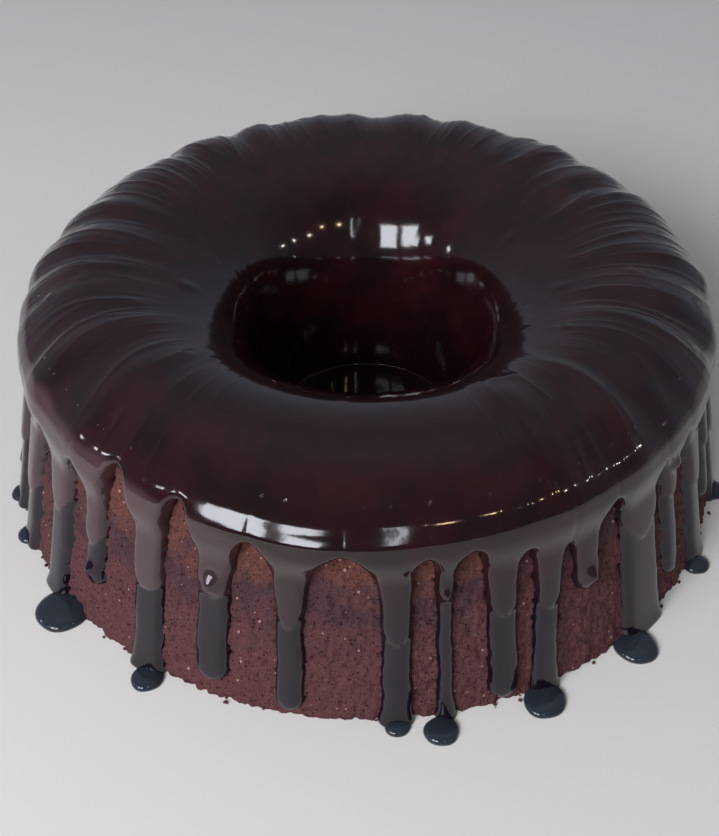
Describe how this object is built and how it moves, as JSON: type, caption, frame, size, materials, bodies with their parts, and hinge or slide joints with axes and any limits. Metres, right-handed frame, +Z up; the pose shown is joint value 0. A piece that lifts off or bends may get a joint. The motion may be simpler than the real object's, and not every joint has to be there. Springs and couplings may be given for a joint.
{
  "type": "glazed chocolate bundt cake",
  "caption": "Round chocolate ring cake with a curved well, coated in dark glaze that runs down its side in drips and pools at the foot.",
  "frame": {"origin": "centre of the cake's foot, on the surface that it stands on", "axes": "+Z up along the axis of the ring, -Y towards the side with the most bare crumb between its drips"},
  "size_m": [0.2573, 0.2698, 0.0834],
  "materials": {
    "crumb": "dry porous dark red-brown cake crumb",
    "glaze": "glossy near-black chocolate glaze"
  },
  "bodies": {
    "root": {"cake": "crumb", "glaze": "glaze"}
  },
  "joints": []
}
